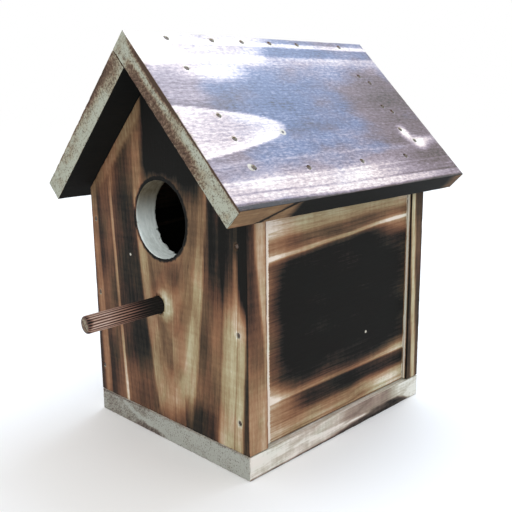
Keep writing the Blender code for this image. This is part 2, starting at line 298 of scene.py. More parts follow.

# %% [markdown]
# ## Torch tones
# One number says how far the flame went, from 0 for bare pine to 1 for soot, and one group turns it into a
# colour and a gloss. Bare pine is straw, light scorch is tan, then red-brown, then a nearly neutral black.
# The cloud input leans the pale end towards pink or towards green-grey, as sapwood does.
# Inside the nest, under the roof and at the top of the front gable the same number also carries painted shade,
# and at the right roof board's upper front corner a painted glare.

# %% Torch tone group
tone_group, entry, leave = group("torch_tone", {"Burn": "Float", "Cloud": "Float"},
                                 {"Color": "Color", "Roughness": "Float"})
warm = ramp(tone_group, entry["Burn"], [
    (0.00, paint(226, 213, 199)), (0.12, paint(190, 170, 146)), (0.28, paint(162, 130, 100)),
    (0.45, paint(136, 98, 72)), (0.60, paint(108, 76, 57)), (0.75, paint(78, 55, 44)),
    (0.87, paint(50, 39, 33)), (0.94, paint(34, 30, 28)), (1.00, paint(21, 20, 18))])
cool = ramp(tone_group, entry["Burn"], [
    (0.00, paint(220, 219, 203)), (0.12, paint(184, 176, 145)), (0.28, paint(157, 140, 107)),
    (0.45, paint(128, 101, 74)), (0.60, paint(98, 76, 57)), (0.75, paint(70, 56, 43)),
    (0.87, paint(46, 41, 34)), (0.94, paint(32, 31, 28)), (1.00, paint(21, 21, 19))])
lean = soften(tone_group, entry["Cloud"], 0.38, 0.62)
feed(tone_group, leave["Color"], blend(tone_group, lean, warm, cool))
feed(tone_group, leave["Roughness"], maths(tone_group, "MULTIPLY_ADD", entry["Burn"], 0.20, 0.60))

# %% [markdown]
# The roof got a coat of satin finish on top, and the sky hangs in it. Its own tone group has the same burn
# scale, but its browns are greyed and leaned to lavender and blue, which is the sky's reflection painted into
# the colour on top of the real gloss, and it is smoother.

# %% Satin and painted sky roof tone group
satin_and_sky_group, entry, leave = group("satin_and_sky_tone", {"Burn": "Float", "Cloud": "Float"},
                                  {"Color": "Color", "Roughness": "Float"})
# this blue-lavender ramp is the sky's reflection painted into the colour; the ruddy ramp is the wood's own
# tone
painted_sky_tones = ramp(satin_and_sky_group, entry["Burn"], [
    (0.00, paint(236, 232, 228)), (0.15, paint(205, 198, 204)), (0.35, paint(150, 152, 176)),
    (0.55, paint(92, 108, 144)), (0.72, paint(74, 88, 120)), (0.86, paint(66, 66, 76)),
    (1.00, paint(30, 27, 27))])
ruddy = ramp(satin_and_sky_group, entry["Burn"], [
    (0.00, paint(236, 228, 224)), (0.15, paint(206, 190, 190)), (0.35, paint(154, 140, 150)),
    (0.55, paint(118, 103, 112)), (0.72, paint(96, 80, 84)), (0.86, paint(72, 56, 52)),
    (1.00, paint(30, 25, 23))])
lean = soften(satin_and_sky_group, entry["Cloud"], 0.26, 0.74)
feed(satin_and_sky_group, leave["Color"], blend(satin_and_sky_group, lean, painted_sky_tones, ruddy))
feed(satin_and_sky_group, leave["Roughness"], maths(satin_and_sky_group, "MULTIPLY_ADD", entry["Burn"], 0.10, 0.36))

# %% [markdown]
# ## Sawn ends
# End grain is a different surface: open tubes, pale and speckled, with the rings as arcs. The saw leaves
# it greenish grey, and soot and dirt settle in the pores where the flame passed by.

# %% End grain group
end_group, entry, leave = group("sawn_end", {"Board": "Vector", "Ring": "Float", "Stain": "Float"},
                                {"Color": "Color", "Pit": "Float"})
pores = noise_at(end_group, stretch(end_group, entry["Board"], .1, 1.15, 1.15), 4, .72)
broad = noise_at(end_group, stretch(end_group, entry["Board"], .1, .16, .16), 2)
uneven_ring = maths(end_group, "MULTIPLY_ADD", broad, 9.0, entry["Ring"])
arcs = use(end_group, ring_group, {"Ring": uneven_ring, "Spacing": 2.8})["Line"]
dirt = maths(end_group, "MULTIPLY_ADD", maths(end_group, "SUBTRACT", broad, 0.5), 0.7, entry["Stain"])
patches = noise_at(end_group, stretch(end_group, entry["Board"], .1, .5, .5), 2)
arc_depth = maths(end_group, "MULTIPLY", maths(end_group, "MULTIPLY_ADD", dirt, 1.2, 0.04, clamp=True),
                  soften(end_group, patches, 0.34, 0.58))
dirt = maths(end_group, "MULTIPLY_ADD", arcs, arc_depth, dirt)
speckle = soften(end_group, maths(end_group, "MULTIPLY_ADD", dirt, 0.18, pores), 0.505, 0.65)
ground = ramp(end_group, dirt, [
    (0.00, paint(164, 167, 152)), (0.30, paint(150, 143, 123)), (0.55, paint(130, 110, 92)),
    (0.80, paint(98, 75, 66)), (1.00, paint(46, 37, 33))])
pore_share = maths(end_group, "MULTIPLY", speckle, 0.8)
feed(end_group, leave["Color"], blend(end_group, pore_share, ground, paint(78, 62, 50)))
feed(end_group, leave["Pit"], speckle)

# %% [markdown]
# ## Board directions
# Every board gets its own set of axes in millimetres: along the grain, across it, and through the
# thickness. The same axes are used in the mesh code, to cut and carve, and in the material, through one
# Mapping node, so carved grain and drawn grain agree.

# %% Axes of a board
class Axes:
    def __init__(self, along, across, origin):
        along, across = Vector(along), Vector(across)
        self.turn = Matrix((along, across, along.cross(across)))
        self.origin = Vector(origin)

    def read(self, point):
        return self.turn @ (point - self.origin) / MM

    def mapping(self, tree):
        """Object coordinates in, millimetres along, across and through the board out."""
        shift = -(self.turn @ self.origin) / MM
        return add(tree, "Mapping", {"Vector": add(tree, "TexCoord").outputs["Object"], "Location": shift,
                                     "Rotation": self.turn.to_euler(), "Scale": (1 / MM,) * 3}).outputs[0]


SLOPE = math.sqrt(0.5)
front_low, front_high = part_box("front_board")
back_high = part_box("back_board")[1]
roof_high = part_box("right_roof_board")[1]
side_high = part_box("right_side_board")[1]
RIDGE = Vector((0.0, 0.0, roof_high[2]))
AXES = {
    "front_board": Axes((0, 0, 1), (1, 0, 0), (0, front_low[1], 0)),
    "back_board": Axes((0, 0, 1), (1, 0, 0), (0, back_high[1], 0)),
    "right_side_board": Axes((0, 1, 0), (0, 0, 1), (side_high[0], 0, 0)),
    "left_side_board": Axes((0, 1, 0), (0, 0, 1), (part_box("left_side_board")[0][0], 0, 0)),
    "floor_board": Axes((0, 1, 0), (1, 0, 0), (0, 0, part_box("floor_board")[1][2])),
    "right_roof_board": Axes((0, 1, 0), (SLOPE, 0, -SLOPE), RIDGE),
    "left_roof_board": Axes((0, 1, 0), (-SLOPE, 0, -SLOPE), RIDGE),
}
HALF_WIDTH = front_high[0] / MM
PEAK = front_high[2] / MM

# %% [markdown]
# ## Recutting a board
# A board from the frame has a handful of large faces, and those can't hold relief. It is copied, its long
# arrises are rounded by a fraction of a millimetre, and then it is sliced like a loaf along all three of its
# axes with `bisect_plane`. The slices are close together across the grain and further apart along it,
# because that is how wood varies. The diagonals that the first triangulation drew across big faces are
# tagged as seams and dissolved again, points closer than the weld distance are joined, and faces with more
# than four sides are split. Every nail hole stays where the frame has it. The back board keeps one unclean
# spot from this, at a nail hole in its sloped top, where the roof hides it.

# %% Slice a board into a fine grid
ARRIS = 0.00045
STEPS = (2.4, 1.0, 1.4)                                    # millimetres along, across and through
SAME_POINT, WELD = 1e-6, 5e-6                              # metres


def long_arrises(bm, angle=math.radians(30), length=0.005):
    return [e for e in bm.edges
            if len(e.link_faces) == 2 and e.calc_face_angle() > angle and e.calc_length() > length]


def recut(name, axes):
    bm = bmesh.new()
    bm.from_mesh(NODES[name].data)
    bmesh.ops.remove_doubles(bm, verts=bm.verts, dist=SAME_POINT)
    bmesh.ops.dissolve_limit(bm, angle_limit=math.radians(1), verts=bm.verts, edges=bm.edges)
    bmesh.ops.bevel(bm, geom=long_arrises(bm), offset=ARRIS, offset_type="OFFSET", segments=2,
                    profile=0.5, affect="EDGES", material=-1, clamp_overlap=True)
    for edge in bmesh.ops.triangulate(bm, faces=bm.faces[:])["edges"]:
        edge.seam = True
    for row, step in zip(axes.turn, STEPS):
        reach = [row.dot(v.co) for v in bm.verts]
        low, high = min(reach), max(reach)
        count = round((high - low) / MM / step)
        for k in range(1, count):
            bmesh.ops.bisect_plane(bm, geom=bm.verts[:] + bm.edges[:] + bm.faces[:], dist=SAME_POINT,
                                   plane_co=row * (low + (high - low) * k / count), plane_no=row)
    bmesh.ops.dissolve_edges(bm, edges=[e for e in bm.edges if e.seam], use_verts=True)
    bmesh.ops.remove_doubles(bm, verts=bm.verts, dist=WELD)
    bmesh.ops.triangulate(bm, faces=[f for f in bm.faces if len(f.verts) > 4])
    bm.normal_update()
    return bm

# %% [markdown]
# ## Where the nails are
# The wood round a nail head looks different: the hammer and the brush have been there. So the boards need to
# know where the heads are. A nail is long and thin, so the long direction of its points is its axis, and the
# end that is thicker is its head. The same few lines place the brads and the perch later on.

# %% Find the axis of a long thin node
def long_axis(node):
    """Head end, direction from the head inwards, length and largest radius."""
    points = np.array([v.co for v in node.data.vertices], dtype=float)
    middle = points.mean(axis=0)
    direction = np.linalg.svd(points - middle, full_matrices=False)[2][0]
    along = (points - middle) @ direction
    reach = np.linalg.norm(points - middle - np.outer(along, direction), axis=1)
    if reach[along < along.mean()].max() < reach[along > along.mean()].max():
        direction, along = -direction, -along
    start = middle + direction * along.min()
    return Vector(start), Vector(direction), float(np.ptp(along)), float(reach.max())

NAIL_HEADS = [long_axis(NODES[name])[0] for name in NODES if "nail" in name]

# %% [markdown]
# ## Weathering a board
# Only material is ever taken away, so the pieces keep their clearances. On the faces the brush has pulled
# soft wood out between the hard rings; the arrises are dented and chipped. Each point moves back along its
# own normal by a depth that depends on noise read in board axes. Five numbers are stored on the points for
# the finish: the ring distance, the scorch together with painted shade and painted glare, the lean of the
# colour together with a painted sky blue on the roofs, the wear of the arris and how near a nail head is.
#
# The figures of the boards, further down, are all written in one way. A place is in millimetres in the
# board's own axes, `smooth(place, start, stop)` rises from 0 to 1 between two places, and the factor in
# front of it is how much darker or paler that mark makes the wood.

# %% Noise, soft steps and soft patches
def noise1(u, v, w=0.0, seed=0.0):
    """Smooth noise between 0 and 1."""
    return 0.5 + 0.5 * noise.noise(Vector((u + seed, v - seed, w + seed * 0.37)))


def smooth(value, start, stop):
    t = min(1.0, max(0.0, (value - start) / (stop - start)))
    return t * t * (3 - 2 * t)


def patch(u, v, centre_u, centre_v, reach_u, reach_v):
    """A soft round mark: 1 in the middle, 0 at its rim."""
    return smooth(1 - math.hypot((u - centre_u) / reach_u, (v - centre_v) / reach_v), 0.0, 1.0)


def mix(first, second, amount):
    return first + (second - first) * amount


def level_at(stops, place):
    """What a ramp of millimetre stops gives at one place."""
    return float(np.interp(place, [mm for mm, _ in stops], [level for _, level in stops]))

# %% Carve relief and store the figure
NAIL_RIM = 2.6                                             # millimetres of bruised wood round a head


def weather(bm, axes, ring, torch_shade_and_glare, hue_and_sky=None, carve=None, relief=0.10, chip=0.35, seed=0.0):
    names = ("ring", "torch_shade_and_glare", "hue_and_sky", "wear", "nail")
    ring_layer, torch_shade_glare_layer, hue_and_sky_layer, wear_layer, nail_layer = [bm.verts.layers.float.new(n) for n in names]
    heads = kdtree.KDTree(len(NAIL_HEADS))
    for index, head in enumerate(NAIL_HEADS):
        heads.insert(head, index)
    heads.balance()
    moves = []
    for vert in bm.verts:
        u, v, w = axes.read(vert.co)
        facing = axes.turn @ vert.normal
        vert[ring_layer] = ring(u, v, w)
        vert[torch_shade_glare_layer] = torch_shade_and_glare(u, v, w, facing)
        vert[hue_and_sky_layer] = hue_and_sky(u, v) if hue_and_sky else 0.0
        nearest = heads.find(vert.co)[2] / MM
        vert[nail_layer] = smooth(nearest, NAIL_RIM, 1.3)
        arris = smooth(max(abs(c) for c in facing), 0.985, 0.90) * smooth(nearest, 1.6, 2.4)
        vert[wear_layer] = arris
        groove = noise1(u * 0.02, v * 0.45, w * 0.45, seed)
        groove *= 0.6 + 0.8 * noise1(u * .03, v * .05, w, seed + 9)
        hollow = relief * groove + 0.10 * noise1(u * 0.03, v * 0.05, w * 0.05, seed + 3)
        nick = smooth(noise1(u * 0.16, v * 0.5, w * 0.5, seed + 5), 0.55, 0.85) * chip
        move = -vert.normal * mix(hollow, 0.05 + nick, arris)
        if carve:
            move += axes.turn.transposed() @ Vector(carve(u, v, w))
        moves.append((vert, move * MM))
    for vert, move in moves:
        vert.co += move
    bm.normal_update()

# %% [markdown]
# ## The front board
# A flat-sawn board with the tree's heart just right of the middle: its rings rise as nested arches, and the
# year that burnt palest makes a tall V round the perch. Seen as a formula the arches are parabolas, all with
# the same spread, so one number, the ring distance, runs from 0 in the axis at the peak to about 70 at the
# bottom corners. It is negative on the left, because the two sides did not burn alike.

# %% Front board figure
HEART_X, ARCH_SPREAD, ARCH_TOP, PITH_DEPTH = 6.2, 5.5, 180.0, 24.0
HOLE_Z, HOLE_RADIUS = 116.5, 19.25
INNER_RIM_DEPTH, RIM_REACH = 11.9, 0.35
PERCH_X, PERCH_Z = -4.0, 72.8
INSIDE_PAINTED_SHADE = 0.7                                         # the nest chamber's inner faces are painted dark, as shade
EDGE_X = HALF_WIDTH - 0.25                                 # further out is the board's long edge
EDGE_RING = 62.0                                           # which is one ring, painted by torch alone
FRONT_BANDS = [
    (-72, .86), (-69.4, .78), (-68.4, .48), (-64, .44), (-62.4, .70), (-58, .52), (-52.2, .66),
    (-51.3, .34), (-50.1, .28), (-49.5, .78), (-40, .90), (-33, .86), (-32, .30), (-28.8, .32),
    (-27.4, .56), (-24.6, .42), (0, .34), (24, .38), (27.4, .40), (28.4, .25), (32.2, .28),
    (33.4, .60), (36, .66), (40, .54), (44, .48), (45.2, .24), (52.2, .10), (52.9, .38),
    (53.6, .16), (57.2, .22), (58.4, .82), (72, .82)]


def front_ring(z, x, depth):
    if abs(x) > EDGE_X:
        return EDGE_RING
    dx = x - HEART_X + 1.2 * (noise1(z * 0.02, x * 0.02, 0, 4) - 0.5)
    square = dx * dx + (depth + PITH_DEPTH) ** 2 - PITH_DEPTH ** 2 - ARCH_SPREAD * (z - ARCH_TOP)
    return math.copysign(math.sqrt(max(square, 0.0)), dx)


def front_edge_torch(z, depth):
    """The board's long edge: brown, blackening upwards at the face, with a bare streak at the back."""
    bare = smooth(depth, 4.0, 6.5 - 0.5 * noise1(z * .05, 0, 0, 2)) if z > 110 else \
        smooth(depth, *(mix(10.4, 4.4, smooth(z, 52, 125)) + step for step in (-0.8, 1.2)))
    if z < 48:
        bare = max(bare, 0.9 * smooth(depth, 6.5, 9.5) * smooth(z, 44, 22))
    brown = mix(0.28, 0.60, smooth(z, 34, 74)) + 0.20 * smooth(z, 62, 84) * smooth(depth, 6.5, 2.5)
    line = 0.45 * smooth(abs(depth - 11.7), 0.7, 0.2)
    return mix(brown, 0.14, bare) + line + 0.12 * (noise1(z * .08, depth * .5, 0, 44) - 0.5) - 0.82


def left_gable_burn(z, x):
    """Left of the dark top, which is soot and painted shade under the eaves: a tan strip under the slope, an
    upright tan strip and a red-brown field between.
    """
    below_slope = (x + PEAK - z) * SLOPE
    burn = 0.60 + 0.16 * smooth(abs(x + 31), 8, 4) * smooth(z, 166, 150)
    burn = mix(burn, 0.42, smooth(abs(x + 17.5), 4.2, 2.6) * smooth(z, 164, 150))
    burn = mix(burn, 0.40, smooth(abs(x + 40.5), 1.6, 0.7) * smooth(z, 145, 130))
    burn = mix(burn, 0.46, smooth(x, -44, -50))
    return mix(burn, 0.41, smooth(below_slope, 7.5, 5))


def front_torch_and_shade(z, x, depth, facing):
    if facing.y > 0.7:
        return front_edge_torch(z, depth)
    # the face towards the nest is painted dark, as shade
    if facing.z > 0.7:
        return INSIDE_PAINTED_SHADE
    burn = 0.28 * (noise1(z * 0.05, x * 0.12, 0, 21) - 0.5)
    # the top of the gable darkens: soot, and painted shade under the eaves
    soot_and_shade_floor = 138 + 0.12 * x + 5 * (noise1(x * 0.12, 0, 0, 22) - 0.5)
    burn += 1.0 * smooth(x, -15.5, -8.0) * smooth(z, soot_and_shade_floor - 8, soot_and_shade_floor + 9)
    burn += 0.32 * smooth(x, 2, 12) * smooth(x, 38, 26) * smooth(z, 122, 134)
    if x < -8:
        burn -= 0.24 * smooth(z, 46, 28) * smooth(x, -39, -35)
        burn += 0.16 * smooth(z, 60, 44) * smooth(x, -40, -43) * smooth(x, -52, -50)
        burn += 0.14 * smooth(z, 70, 96) * smooth(x, -44, -48) * smooth(x, -56, -53)
        gable = left_gable_burn(z, x) - level_at(FRONT_BANDS, front_ring(z, x, 0))
        burn = mix(burn, gable + 0.4 * burn, smooth(z, 120, 134) * smooth(x, -9.5, -13.5))
    burn += 0.24 * patch(z, x, 91, 6, 13, 18)
    burn += 0.26 * smooth(z, 26, 13) * smooth(abs(x - HEART_X), 14, 8)
    if x > 14:
        right_side = smooth(x, 33.5, 36.5)
        flame = z + 9 * (noise1(x * 0.16, 0, 0, 24) - 0.5)
        burn += 0.30 * smooth(flame, 60, 108) * right_side
        pale_line = 0.75 * smooth(abs(x - 52.4), 1.8, 0.8) * smooth(z, 112, 100)
        burn += 0.46 * smooth(flame, 72, 112) * smooth(x, 41, 44) * (1 - pale_line)
        burn += 0.28 * smooth(z, 33, 22) * smooth(x, 42, 34)
        burn += 0.58 * smooth(flame, 72, 90) * smooth(x, 53.8, 56)
        burn += 0.14 * smooth(z, 78, 100) * smooth(x, 34, 32)
    return burn


def front_hue(z, x):
    """Pink on the left and low down, straw at the pale right and round the perch."""
    if x > EDGE_X:
        return -0.08
    straw = 0.14 * smooth(abs(x - 24), 9, 5) + 0.2 * patch(z, x, PERCH_Z, 1, 14, 10)
    if x < 0:
        straw += 0.14 * smooth((x + PEAK - z) * SLOPE, 10, 6)
    straw += 0.12 * smooth(x, 40, 46) * smooth(z, 90, 60)
    return straw - 0.10 * smooth(x, -20, -45) - 0.06 * smooth(z, 40, 20)


def front_carve(z, x, depth):
    """The drill came out ragged: the inner rim of the entry hole is torn back towards the face."""
    reach = math.hypot(x, z - HOLE_Z)
    if abs(reach - HOLE_RADIUS) > RIM_REACH or depth < INNER_RIM_DEPTH:
        return (0, 0, 0)
    angle = math.atan2(z - HOLE_Z, x)
    low = smooth(-math.sin(angle), 0.1, 0.7)
    torn = 0.3 + mix(0.4, 2.6, low) * smooth(noise1(angle * 15, 0, 0, 91), 0.35, 0.7)
    return (0, 0, -torn)


def front_scorch(tree, board, burn):
    rim = use(tree, mark_group, {"Board": board, "Centre": (HOLE_Z, 0, 0), "Radius": HOLE_RADIUS + 1.0,
                                 "Soft": 1.4, "Wander": 2.2})["Mask"]
    halo = use(tree, mark_group, {"Board": board, "Centre": (PERCH_Z + 0.8, PERCH_X + 4.0, 0), "Radius": 4.4,
                                  "Soft": 6.0, "Wander": 4.0})["Mask"]
    burn = maths(tree, "MULTIPLY_ADD", rim, 0.50, burn)
    return maths(tree, "MULTIPLY_ADD", halo, -0.29, burn)


def front_painted_bore_and_fleck(tree, board, colour):
    across_wall = soften(tree, facing_of(tree, (0, 1, 0)), 0.5, 0.35)
    near = use(tree, mark_group, {"Board": board, "Centre": (HOLE_Z, 0, 0), "Radius": HOLE_RADIUS + 0.3,
                                  "Soft": 0.3, "Wander": 0.0})["Mask"]
    wall = noise_at(tree, stretch(tree, board, .25, .25, .7), 3)
    # The drilled wall is painted: pale blue-white at the bottom is painted light from the sky, dark brown at
    # the top is painted shade
    bare = ramp(tree, wall, [(0.35, paint(224, 234, 231)), (0.6, paint(246, 255, 253))])
    painted_shade_wall = ramp(tree, wall, [(0.35, paint(96, 87, 70)), (0.6, paint(118, 110, 92))])
    height = shift(tree, add(tree, "SeparateXYZ", {0: board}).outputs[0], wall, 4.0)
    # below the middle of the hole the painted light, above it the painted shade
    bare = blend(tree, soften(tree, height, HOLE_Z - 11, HOLE_Z + 13), bare, painted_shade_wall)
    colour = blend(tree, maths(tree, "MULTIPLY", across_wall, near), colour, bare)
    return fleck(tree, board, colour, (95.5, -26, 0))


def fleck(tree, board, colour, centre, radius=0.4, tint=paint(196, 192, 180)):
    spot = use(tree, mark_group, {"Board": board, "Centre": centre, "Radius": radius,
                                  "Soft": 0.5, "Wander": 1.2})
    return blend(tree, spot["Mask"], colour, tint)

# %% [markdown]
# ## The side boards
# Here the grain lies level. The middle of each side is charred through, and it pales towards its two ends.
# Thin pale rings, harder than the rest, still show as lines above and below the char.

# %% Side board figure
SIDE_BANDS = [
    (10, .5), (12.6, .5), (13.2, .22), (13.9, .50), (14.8, .28), (18, .34), (20, .42), (22, .62),
    (24.5, .76), (29, .78), (31.2, .70), (32.1, .34), (33.2, .36), (34.6, .66), (37, .88), (42, 1.0),
    (93, 1.0), (98, .96), (100.5, .70), (101.3, .26), (102.8, .20), (103.9, .52), (106, .60),
    (109.4, .58), (111.5, .34), (116, .22), (124, .26)]
SIDE_HALF_THICKNESS = 6.0
SIDE_RUNS = [(-58, -1.1), (-53.3, -1.1), (-52.5, 0), (57.4, 0), (58.0, -.8), (60, -.8)]


def side_ring(y, z, depth):
    tilt = 0.0714 * (y + 54) * (smooth(z, 40, 102) - 0.5 * smooth(z, 104, 118))
    wave = 2.4 * smooth(y, 4, 22) * smooth(z, 29, 23) * smooth(z, 12, 18)
    sway = 1.6 * (noise1(y * 0.03, z * 0.05, 0, 12) - 0.5) * smooth(abs(z - 33), 2, 8)
    return z - tilt - wave + sway


def side_torch_and_shade(y, z, depth, facing):
    burn = 0.26 * (noise1(y * 0.05, z * 0.12, 0, 31) - 0.5)
    inner = smooth(z, 36, 44) * smooth(z, 100, 92)
    edge_left = smooth(y + 7 * noise1(z * .07, 0, 0, 33), -30, -52)
    edge_near = smooth(y + 7 * noise1(z * .05, 0, 0, 34), -36, -54)
    burn -= mix(0.22 * edge_left, 0.47 * edge_near, inner)
    burn -= 0.50 * patch(y, z, -56, 36, 34, 9) + 0.12 * patch(y, z, -56, 97, 20, 16)
    burn -= 0.40 * patch(y, z, 60, 36, 38, 7) + 0.50 * patch(y, z, 58, 105, 44, 8)
    burn -= 0.12 * smooth(y, 48, 58) * inner
    burn -= 0.17 * patch(y, z, 40, 16, 22, 5) + 0.20 * patch(y, z, -10, 15, 30, 3)
    burn += 0.14 * smooth(abs(z - 27), 6, 3) * smooth(y, -40, -24)
    burn += 0.08 * smooth(abs(z - 32.5), 3.2, 1.4) * smooth(y, -34, -14) * smooth(y, 48, 22)
    burn += 0.06 * smooth(abs(z - 104), 9, 3) * patch(y, 0, -2, 0, 46, 1)
    burn -= 0.30 * smooth(y, -24, -44) * smooth(z, 32, 30) * smooth(z, 20, 24)
    burn -= 0.16 * smooth(y, 16, 40) * smooth(z, 24, 20)
    burn += 0.07 * smooth(z, 42, 52) * smooth(z, 98, 88) * smooth(abs(y - 2), 52, 40)
    if abs(depth) > SIDE_HALF_THICKNESS:                   # the face towards the nest is painted dark, as shade
        burn += 0.6 * smooth(abs(facing.z), 0.8, 0.9)
    return burn


def side_hue(y, z):
    straw = 0.10 * smooth(z, 110, 114) + 0.06 * smooth(y, 20, 50) * smooth(z, 26, 18)
    return straw - 0.12 * smooth(y, -20, -45)


def side_inlay(tree, board, colour):
    return fleck(tree, board, colour, (22, 50, 0))

# %% [markdown]
# ## The roof boards
# The wide boards took a lighter, more even pass. The right board keeps an arch of bare wood at its front
# end and a pale knot near its back corner, and its upper front corner is paler, partly bare wood and partly
# a painted glare of the sky. Along the eaves the flame licked them black; underneath they are painted nearly
# black, for char and for the shade under the roof.

# %% Roof board figure
ARCH_S, ARCH_TIP, ARCH_FLARE = 61.5, -27.0, 4.1
ROOF_BANDS = [
    (-4, .5), (0, .56), (3.4, .54), (4.2, .12), (6.2, .12), (7.4, .62), (13.5, .58), (15.0, .24), (17, .28),
    (19, .30), (22, .42), (28, .55), (46, .63), (70, .56), (79.4, .52), (80.2, .36), (81.4, .48), (87, .44),
    (89.5, .34), (92, .24), (94, .10), (97.4, .12), (98.4, .34), (99.4, .10), (102.4, .14), (103.4, .5),
    (104.4, 1.0), (112, 1.0)]
LEFT_ROOF_BANDS = [
    (-4, .5), (8, .50), (18, .46), (26, .26), (30, .56), (50, .62), (64, .54), (68, .18), (72, .22),
    (76, .62), (90, .58), (96, .26), (101, .40), (104, .9), (112, 1.0)]


def roof_ring(y, s, depth):
    bow = 0.035 * depth * abs(depth)
    sway = 1.6 * (noise1(y * 0.015, s * 0.04, 0, 17) - 0.5)
    return s + bow + sway + 1.5 * smooth(y, -10, -60) * smooth(s, 80, 100)


def hidden_roof_torch_and_shade(y, s, under, facing, end_stain):
    """Sawn ends carry a stain, the eave edge is charred and the underside is painted nearly black, for char
    and for the shade under the roof; the top face gives nothing.
    """
    if abs(facing.x) > 0.6:
        return end_stain(s, under)
    if facing.y < -0.6:
        return 0.1 + 0.3 * (noise1(y * .05, under * .3, 0, 19) - 0.5)
    if facing.y > 0.6:
        bare = smooth(y, -42, -52) + 0.8 * smooth(y, 66, 84)
        slash = smooth(abs((y + 60) + (under - 6) * 1.6), 2.6, 0.9)
        return mix(0.3, -0.55, bare * (1 - 0.8 * slash)) + 0.1 * (noise1(y * .1, under * .4, 0, 14) - .5)
    # the underside: char and painted shade under the roof, nearly black
    return 0.95


def right_end_stain(s, under):
    lower = smooth(under, 4.6, 7.5) * smooth(s, 8, 18) * smooth(s, 92, 70)
    top_line = smooth(under, 3.4, 1.8) * patch(s, 0, 30, 0, 26, 1) ** 0.4
    top_line += smooth(under, 1.6, 0.6) * smooth(s, 20, 30)
    return 0.54 * lower + 1.25 * top_line + 0.4 * (noise1(s * .1, under * .3, 0, 16) - 0.4)


def left_end_stain(s, under):
    rings = 0.46 * patch(s, under, 20, 6, 16, 13) + 0.52 * patch(s, under, 36, 1, 34, 8)
    top_line = 0.5 * smooth(under, 1.8, 0.7) * smooth(s, 14, 24) * smooth(s, 100, 80)
    return rings + top_line + 0.25 * patch(s, under, 78, 4, 20, 5) - 0.04


def right_roof_torch_shade_and_glare(y, s, depth, facing):
    if facing.z > -0.7:
        return hidden_roof_torch_and_shade(y, s, depth, facing, right_end_stain)
    burn = 0.24 * (noise1(y * 0.04, s * 0.12, 0, 41) - 0.5)
    arch = (s - ARCH_S) ** 2 - ARCH_FLARE * (ARCH_TIP - y)
    inner_arch = 0.15 * smooth(arch, -30, -110) * (0.6 + 0.8 * noise1(y * .03, s * .2, 0, 6))
    burn -= 0.56 * smooth(arch, 12, -14) - inner_arch
    # the upper front corner is paler: partly bare wood, partly a painted glare of the sky
    burn -= 0.46 * smooth(y + 0.8 * s, 12, -6) * smooth(s, 23, 14)
    burn -= 0.55 * patch(y, s, -48, 26, 30, 9)
    burn -= 0.18 * smooth(y, -52, -70) * smooth(s, 50, 40)
    burn += 0.18 * smooth(y, 36, 78) * smooth(s, 20, 45)
    burn += 0.12 * patch(y, s, 48, 75, 24, 7)
    knot = 0.9 * patch(y, s, 63, 72, 7, 9) + 0.8 * patch(y, s, 70, 79, 10, 8)
    burn -= knot + 0.5 * patch(y, s, 80, 77, 14, 4)
    burn += 0.24 * smooth(y, 8, 46) * smooth(s, 87, 92) * smooth(s, 99.4, 98)
    burn -= 0.2 * smooth(abs(s - 90.8), 1, .3)
    burn += 0.12 * smooth(y, 30, 60) * smooth(s, 80, 86)
    return burn


def right_roof_inlay(tree, board, colour):
    """Two heads were driven through bare spots that the brush left pale."""
    for centre in ((-31, 65, 0), (-64.5, 83.3, 0)):
        colour = fleck(tree, board, colour, centre, 1.7)
    return fleck(tree, board, colour, (-31, 65, 0), 0.5, paint(70, 66, 68))


def left_roof_torch_and_shade(y, s, depth, facing):
    if facing.z < 0.7:
        return hidden_roof_torch_and_shade(y, s, -depth, facing, left_end_stain)
    burn = 0.24 * (noise1(y * 0.03, s * 0.08, 0, 51) - 0.5)
    burn -= 0.45 * patch(y, s, -60, 34, 60, 11) + 0.5 * patch(y, s, 60, 70, 44, 8)
    return burn + 0.2 * smooth(abs(y), 60, 86)


def roof_hue(y, s):
    """Negative is bluer, a painted reflection of the sky; positive ruddier."""
    # the blue patches are the sky's reflection painted into the colour
    blue = 0.24 * patch(y, s, -22, 48, 60, 46) + 0.40 * patch(y, s, 22, 10, 46, 9)
    pink = 0.30 * smooth(y, -50, -72) * smooth(s, 90, 70) + 0.34 * smooth(y, 26, 66) * smooth(s, 20, 45)
    eave = smooth(s, 80, 90)
    return pink + 0.14 * eave + 0.40 * eave * smooth(y, 0, 40) - blue

# %% [markdown]
# ## The back and the floor
# The back board is plain straight-grained stock with two dark years in it. The floor board was never
# torched on its own: it only caught the flame along its edges after the box was nailed together.

# %% Back board figure
BACK_EDGE_RING = 64.0
BACK_BANDS = [
    (-64, .6), (-52, .5), (-46, .62), (-40, .34), (-36, .38), (-33, .78), (-22, .84), (-18, .44), (-8, .50),
    (4, .56), (8, .30), (13, .34), (16, .80), (26, .76), (30, .44), (42, .50), (46, .28), (50, .34),
    (54, .66), (66, .6)]


def back_ring(z, x, depth):
    if abs(x) > EDGE_X:
        return BACK_EDGE_RING
    return x + 4 + 2.2 * math.sin(z * 0.021) + 1.5 * (noise1(z * 0.02, x * 0.03, 0, 61) - 0.5)


def back_torch_and_shade(z, x, depth, facing):
    if facing.y > 0.7:
        streak = smooth(abs(depth + 9.2 - (110 - z) * 0.045), 2.6, 1.4)
        red = 0.12 * patch(z, depth, 95, -4, 18, 4)
        return mix(0.14 - red, -0.46, streak) + 0.14 * (noise1(z * .06, depth * .4, 0, 75) - .5)
    burn = 0.30 * (noise1(z * 0.04, x * 0.08, 0, 71) - 0.5)
    if facing.z < -0.7 and x > 56:                         # the step beside the side board
        return mix(-0.75, 0.34, smooth(x, 58.2, 58.9)) + 0.1 * smooth(z, 40, 20)
    # the face towards the nest is painted dark, as shade
    if facing.z < -0.7:
        return INSIDE_PAINTED_SHADE
    return burn + 0.5 * smooth(z, 128, 150) + 0.35 * patch(z, x, 70, -10, 40, 26)


